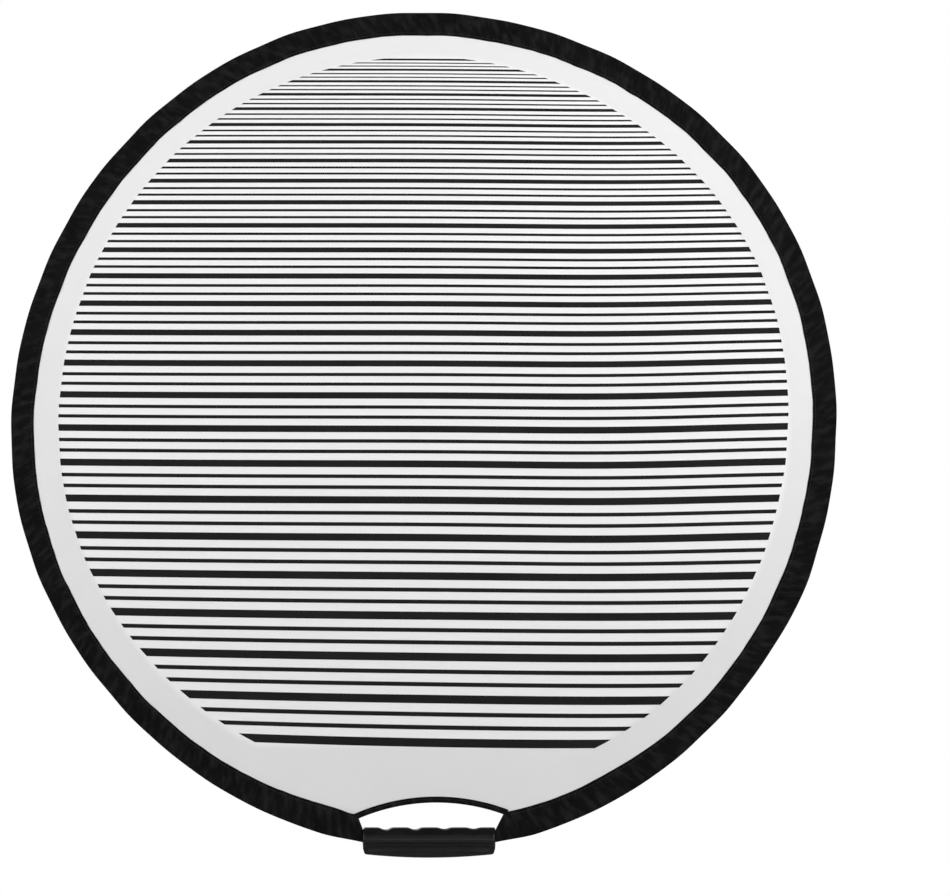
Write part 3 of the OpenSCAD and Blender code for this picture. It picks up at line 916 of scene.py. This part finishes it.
def make_opening_stitching():
    """The seam along the arched tape, on both faces."""
    pitch = ARCH_PITCH / ARCH_R
    short = -8 * MM
    runs = []
    for side in (-1, 1):
        for first in np.arange(arch_angle(-1, short), arch_angle(1, short), pitch):
            flat = arch_place(first + ALONG_STITCH * pitch * 0.84, ARCH_R + ARCH_SEAM_IN)
            away = SEAM_DEPTH - 0.1 * MM + THREAD_R * 0.5 - 0.3 * MM * (1 - STITCH_ARCH)
            runs.append(np.stack([flat[:, 0], side * away + cloth_seat(flat), flat[:, 1]], 1))
    return make_piece("arch_stitching", *threads(runs))


ZIGZAGS = 33


def make_tacks():
    """A dense zigzag of thread across each end of the rim binding, on both faces."""
    runs = []
    along = np.linspace(-3.2, 3.2, ZIGZAGS) * MM
    across = 1.1 * MM * np.where(np.arange(ZIGZAGS) % 2, 1, -1)
    for hand in (-1, 1):
        foot = np.array([hand * HEM_X, HEM_Z])
        way = (CORNERS[hand] - foot) / np.linalg.norm(CORNERS[hand] - foot)
        over = np.array([way[1], -way[0]])
        middle = (CORNERS[hand] + foot) / 2 + np.array([hand * 3 * MM, 0])
        flat = middle + along[:, None] * way + across[:, None] * over
        angle, r = from_centre(flat)
        depth = tape_depth(angle, band_line(angle) + BAND_OUT - r, tape_width(angle))
        for side in (-1, 1):
            away = side * (depth + THREAD_R * 0.7) + cloth_seat(flat)
            runs.append(np.stack([flat[:, 0], away, flat[:, 1]], 1))
    return make_piece("hem_tacks", *threads(runs))


# ---------------------------------------------------------------- spring hoop

HOOP_STATIONS = 721


def make_hoop():
    """The flat band, all the way round, with rounded edges; its ends meet inside the ferrule."""
    half_t, half_w, edge = BAND_T / 2, BAND_W / 2, 0.3 * MM
    corner = [(half_t, half_w - edge), (half_t - edge * 0.3, half_w - edge * 0.3), (half_t - edge, half_w)]
    section = corner + [(-t, w) for t, w in corner[::-1]] + [(-t, -w) for t, w in corner]
    section = np.array(section + [(t, -w) for t, w in corner[::-1]])
    gap = 0.5 * MM / (BAND_R + 9 * MM)
    start = math.atan2(-DISC[0], DISC[1])
    angle = np.linspace(start + gap, start + 2 * math.pi - gap, HOOP_STATIONS)
    line = at(angle, band_line(angle))
    ahead = np.gradient(line, axis=0)
    ahead /= np.linalg.norm(ahead, axis=1)[:, None]
    out = np.stack([ahead[:, 1], -ahead[:, 0]], 1)
    flat = line[:, None] + out[:, None] * section[None, :, :1]
    y = section[None, :, 1] + cloth_seat(line)[:, None]
    points = np.stack([flat[..., 0], y, flat[..., 1]], -1).reshape(-1, 3)
    rows, columns = len(angle), len(section)
    faces = grid_faces(rows, columns, close_columns=True).tolist()
    faces += [list(range(columns))[::-1], list(range((rows - 1) * columns, rows * columns))]
    across = np.cumsum(np.linalg.norm(np.diff(section, axis=0, prepend=section[:1]), axis=1))
    cut = np.stack([angle[:, None] * BAND_R + 0 * across[None, :], across[None, :] + 0 * angle[:, None]], -1)
    return make_piece("spring_hoop", points, faces, BLUED, cut.reshape(-1, 2), angle=50)


# ---------------------------------------------------------------- grip

# The grip, in mm. Half sections in depth and height: a rounded finger bar, a groove, and a narrower skirt.
# A notch is its place along the grip and its depth.
FRONT_SECTION = [(0, 20.3), (2.4, 20.25), (4.6, 19.7), (7.2, 17.9), (9.6, 15.0), (11.0, 12.2), (11.75, 10.4),
                 (11.95, 9.2), (11.3, 7.9), (10.0, 6.7), (8.9, 5.6), (8.5, 4.7), (8.85, 4.0),
                 (9.0, 3.3), (9.0, 1.6),
                 (9.0, -0.8), (9.0, -3.2), (8.9, -5.0), (8.2, -6.7), (6.6, -7.7), (4.2, -7.8), (0, -7.8)]
BACK_SECTION = [(0, 20.3), (2.4, 20.3), (4.5, 20.3), (7.4, 19.6), (9.8, 18.1), (11.4, 15.9), (12.0, 12.8),
                (11.4, 9.7), (10.4, 7.6), (9.3, 6.2), (9.0, 5.4), (9.0, 4.5), (9.0, 1.6), (9.0, -0.8),
                (9.0, -3.2),
                (8.9, -5.0), (8.2, -6.7), (6.6, -7.7), (4.2, -7.8), (0, -7.8)]
NOTCHES = ((-42.75, 1.9), (-14.25, 1.8), (14.25, 1.35), (42.75, 1.15))
NOTCH_HALF = 4.6
LOBE_PITCH = 28.5
SCREWS = (-43, 0, 43)
SCREW_Z = 13.8
SCREW_HOLE_R = 1.45
SCREW_HEAD_R = 3.1
HEAD_SEAT = 9.4
WALL = 2.2
END_R = 2
FOOT_R = 2.8
FOOT_SWEEP = 3.4
PANEL_HALF = 59.2
PANEL_TOP = 4.2
PANEL_FOOT = -4.6
SPLIT = 0.01
PIN_SIDES = 32
CHANNEL_STATIONS = 61
BAND_ROOM = 0.3 * MM


def rounded(outline, per_span=5):
    """A smooth curve through the outline's points."""
    p = np.array(outline, float)
    p = np.concatenate([[2 * p[0] - p[1]], p, [2 * p[-1] - p[-2]]])
    t = np.linspace(0, 1, per_span, endpoint=False)[:, None]
    spans = []
    for a, b, c, d in zip(p, p[1:], p[2:], p[3:]):
        spans.append(b + 0.5 * t * (c - a + t * (2 * a - 5 * b + 4 * c - d + t * (3 * (b - c) + d - a))))
    curve = np.concatenate(spans + [p[-2:-1]])
    curve[0], curve[-1] = outline[0], outline[-1]
    return curve


def grip_skin(section, side, inset):
    """One skin of half the grip on a grid of stations along X: the outside, or inset by the wall."""
    half = GRIP_HALF / MM - inset
    ease = np.concatenate([np.linspace(0, 1.8, 7), np.linspace(2.6, half, 66)]) - half
    x = np.concatenate([ease, -ease[-2::-1]])[:, None]
    y, z = section[None, :, 0], section[None, :, 1]
    high, low = section[:, 1].max(), section[:, 1].min()
    end = np.clip(np.abs(x) - (half - END_R), 0, END_R)
    round_in = END_R - np.sqrt(END_R ** 2 - end ** 2)
    dip = sum(deep * np.exp(-(np.abs(x - notch) / NOTCH_HALF) ** 2.4) for notch, deep in NOTCHES)
    swell = 0.25 * np.cos(x / LOBE_PITCH * 2 * math.pi)
    top = -dip + np.minimum(swell, 0) * 0.6 - 0.8 * round_in
    corner = np.clip(np.abs(x) - (half - FOOT_R), 0, FOOT_R)
    foot = FOOT_SWEEP * (x / half) ** 2 + FOOT_R - np.sqrt(FOOT_R ** 2 - corner ** 2)
    raised = z + top * smooth((z - 14) / 6.3) + foot * smooth((1.5 - z) / 9.3)
    scoop = 0.0
    if side < 0 and inset == 0:
        panel_ends = smooth((PANEL_HALF - np.abs(x)) / 0.9)
        panel = panel_ends * smooth((PANEL_TOP - z) / 0.8) * smooth((raised - PANEL_FOOT) / 0.8)
        scoop = panel * (0.5 + 0.9 * smooth((z + 4.5) / 8.5))
    deep = np.maximum(y - round_in * (y > SPLIT) - scoop - inset * (y > SPLIT), 0)
    squeeze = 1 - inset / ((high - low) / 2)
    middle = (high + low) / 2
    tall = middle + (raised - middle) * squeeze
    taper = 1 - 0.014 * smooth((6 - z) / 14)
    return np.stack([x * taper, side * deep + 0 * x, tall], -1) * MM


def screw_cutter(radius, y0, y1=20):
    """Closed round pins at the three screws, for cutting."""
    turn = np.arange(PIN_SIDES) * 2 * math.pi / PIN_SIDES
    ring = np.stack([np.cos(turn), 0 * turn, np.sin(turn)], -1) * radius * MM
    points, faces = [], []
    for x in SCREWS:
        start = 2 * PIN_SIDES * len(points)
        ends = np.array([[x, y0, SCREW_Z], [x, y1, SCREW_Z]]) * MM
        points.append((ends[:, None] + ring[None]).reshape(-1, 3))
        faces += grid_faces(2, PIN_SIDES, close_columns=True, start=start)[:, ::-1].tolist()
        near = list(range(start, start + PIN_SIDES))
        far = list(range(start + PIN_SIDES, start + 2 * PIN_SIDES))
        faces += [near, far[::-1]]
    return make_piece("screw_cutter", np.concatenate(points), faces, MOULDING)


def band_cutter():
    """The band's path through both ends of the grip, with its working clearance."""
    angle = np.linspace(GRIP_ENDS[-1] * 1.25, GRIP_ENDS[1] * 1.25, CHANNEL_STATIONS)
    line = at(angle, ray(angle, np.array([0, GRIP_ARC_R]), GRIP_ARC_R))
    half_t, half_w = BAND_T / 2 + BAND_ROOM, BAND_W / 2 + BAND_ROOM
    section = np.array([(half_t, half_w), (-half_t, half_w), (-half_t, -half_w), (half_t, -half_w)])
    flat = line[:, None] + np.array([0, 1.0]) * section[None, :, :1]
    y = section[None, :, 1] + 0 * flat[..., 0]
    points = np.stack([flat[..., 0], y, flat[..., 1]], -1).reshape(-1, 3)
    faces = grid_faces(CHANNEL_STATIONS, 4, close_columns=True).tolist()
    faces += [[3, 2, 1, 0], list(range(len(points) - 4, len(points)))]
    return make_piece("band_cutter", points, faces, MOULDING)


def make_grip_half(name, outline, side):
    """A moulded half shell: outer and inner skins joined along the split, with closed ends."""
    section = rounded(outline)
    outer, inner = grip_skin(section, side, 0), grip_skin(section, side, WALL)
    rows, columns = outer.shape[:2]
    count = rows * columns
    outer[:, [0, -1], 1] = inner[:, [0, -1], 1] = side * SPLIT * MM
    skin = grid_faces(rows, columns)
    skin = skin if side < 0 else skin[:, ::-1]
    faces = skin[:, ::-1].tolist() + (skin + count).tolist()
    first, last = list(range(columns)), list(range(count - columns, count))
    ends = [first[::-1], last, [i + count for i in first], [i + count for i in last[::-1]]]
    faces += ends if side > 0 else flipped(ends)
    border = [r * columns for r in range(rows)]
    other = [r * columns + columns - 1 for r in range(rows)]
    for edge, turn in ((border, side > 0), (other, side < 0)):
        for a, b in zip(edge, edge[1:]):
            face = [a, b, b + count, a + count]
            faces.append(face[::-1] if turn else face)
    for edge, turn in ((first, side < 0), (last, side > 0)):
        face = [edge[0], edge[-1], edge[-1] + count, edge[0] + count]
        faces.append(face[::-1] if turn else face)
    piece = make_piece(name, np.concatenate([outer.reshape(-1, 3), inner.reshape(-1, 3)]), faces, MOULDING)
    cut_away(piece, band_cutter())
    if side > 0:
        cut_away(piece, screw_cutter(SCREW_HOLE_R, 1))
        cut_away(piece, screw_cutter(SCREW_HEAD_R, HEAD_SEAT))
    piece.data.set_sharp_from_angle(angle=math.radians(38))
    return piece


# ---------------------------------------------------------------- the pieces, the held ones on the grip's body


def bowing(piece, slot, *nodes):
    """A piece that stands for its two halves in the frame, and hides them."""
    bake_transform(piece)
    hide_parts(*nodes)
    return piece


def held(piece, slot, *nodes):
    """A piece that stays with the grip."""
    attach(piece, "held_half")
    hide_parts(*nodes)
    return piece


front_cloth = bowing(make_cloth("front_cloth", -1, FRONT_WHITE), "printed_cloth",
                     "front_cloth_lower", "front_cloth_upper")
back_cloth = bowing(make_cloth("back_cloth", 1, BACK_WHITE), "back_cloth",
                    "back_cloth_lower", "back_cloth_upper")
printed_lines = bowing(make_lines(), "line_ink", "printed_lines_lower", "printed_lines_upper")
rim_binding = bowing(make_binding(), "binding_tape", "rim_binding_lower", "rim_binding_upper")
rim_stitching = bowing(make_rim_stitching(), "thread", "rim_stitching_lower", "rim_stitching_upper")
spring_hoop = bowing(make_hoop(), "spring_steel", "hoop_lower", "hoop_upper")
opening_binding = held(make_opening_binding(), "binding_tape", "opening_binding")
opening_stitching = held(make_opening_stitching(), "thread", "opening_stitching")
binding_tacks = held(make_tacks(), "thread", "binding_tacks")
held(make_grip_half("grip_front", FRONT_SECTION, -1), "moulded_grip", "grip_front_shell")
held(make_grip_half("grip_back", BACK_SECTION, 1), "moulded_grip", "grip_back_shell")

for node, finish in (("hoop_ferrule", ZINC), ("hoop_rivets", ZINC), ("grip_screws", NICKEL)):
    mesh = frame["nodes"][node].data
    mesh.materials.clear()
    mesh.materials.append(finish)


# ---------------------------------------------------------------- floor, light and camera

FLOOR_R = 1.3
FLOOR_Y = -0.3
FLOOR_Z = -0.3
FLOOR_SIDES = 128


def make_floor():
    """A round pale floor below the disc, with a soft edge."""
    turn = np.linspace(0, 2 * math.pi, FLOOR_SIDES + 1)[:-1]
    rings = [(0.02, 0), (0.4, 0), (0.8, 0), (0.985, 0), (0.998, -0.004), (1.0, -0.014)]
    points = [(FLOOR_R * share * math.cos(a), FLOOR_R * share * math.sin(a) + FLOOR_Y, fall + FLOOR_Z)
              for share, fall in rings for a in turn]
    faces = grid_faces(len(rings), FLOOR_SIDES, close_columns=True).tolist()
    faces.append(list(range(FLOOR_SIDES))[::-1])
    finish = Finish("floor", Specular_IOR_Level=0.2, Roughness=0.8)
    mottle = finish.group(MOTTLE, Patches_per_metre=3.0)
    finish.colour(mix_colours(finish.tree, mottle["Patch"], grey(0.8), grey(0.82)))
    floor = make_piece("floor", points, flipped(faces), finish.material)


def make_world():
    """White behind everything the camera sees; for the light itself, a soft room, darker overhead."""
    world = bpy.data.worlds.new("studio")
    bpy.context.scene.world = world
    world.use_nodes = True
    tree = world.node_tree
    room, seen = tree.nodes["Background"], tree.nodes.new("ShaderNodeBackground")
    place = tree.nodes.new("ShaderNodeSeparateXYZ")
    link(tree, tree.nodes.new("ShaderNodeTexCoord").outputs["Generated"], place.inputs[0])
    overhead = ramp(tree, place.outputs[2], 0.0, 0.8)
    link(tree, mix_colours(tree, overhead, grey(0.29), grey(0.08)), room.inputs[0])
    seen.inputs[0].default_value = grey(1.0)
    seen.inputs[1].default_value = 1.0
    mix = tree.nodes.new("ShaderNodeMixShader")
    link(tree, tree.nodes.new("ShaderNodeLightPath").outputs["Is Camera Ray"], mix.inputs[0])
    link(tree, room.outputs[0], mix.inputs[1])
    link(tree, seen.outputs[0], mix.inputs[2])
    link(tree, mix.outputs[0], tree.nodes["World Output"].inputs[0])


# Place, height of the point on the disc that it is aimed at, width, watts
LIGHTS = {
    "right_softbox": ((0.9, -0.9, 0.95), 0.5, 0.8, 10.4),
    "left_softbox": ((-1.2, -0.9, 1.05), 0.5, 0.8, 12.3),
    "front_fill": ((0.1, -2.6, 1.3), 0.4, 0.3, 6),
    "back_softbox": ((-1.1, 2.0, 0.5), 0.4, 1.6, 23),
}


def make_light(name, place, aim, wide, power):
    """A square softbox."""
    lamp = bpy.data.lights.new(name, "AREA")
    lamp.size = wide
    lamp.energy = power
    light = bpy.data.objects.new(name, lamp)
    bpy.context.scene.collection.objects.link(light)
    light.location = place
    light.visible_camera = False
    way = Vector((0, 0, aim)) - Vector(place)
    light.rotation_euler = way.to_track_quat("-Z", "Y").to_euler()


CAMERA_PLACE = (0.0443, -3.0, 0.3875)
LENS_MM = 117.6


def make_camera():
    """Level and square on to the printed face."""
    lens = bpy.data.cameras.new("camera")
    lens.sensor_width = 36
    lens.lens = LENS_MM
    camera = bpy.data.objects.new("camera", lens)
    bpy.context.scene.collection.objects.link(camera)
    camera.location = CAMERA_PLACE
    camera.rotation_euler = (math.pi / 2, 0, 0)
    bpy.context.scene.camera = camera


make_floor()
make_world()
for name, values in LIGHTS.items():
    make_light(name, *values)
make_camera()
bpy.context.scene.view_settings.view_transform = "Standard"
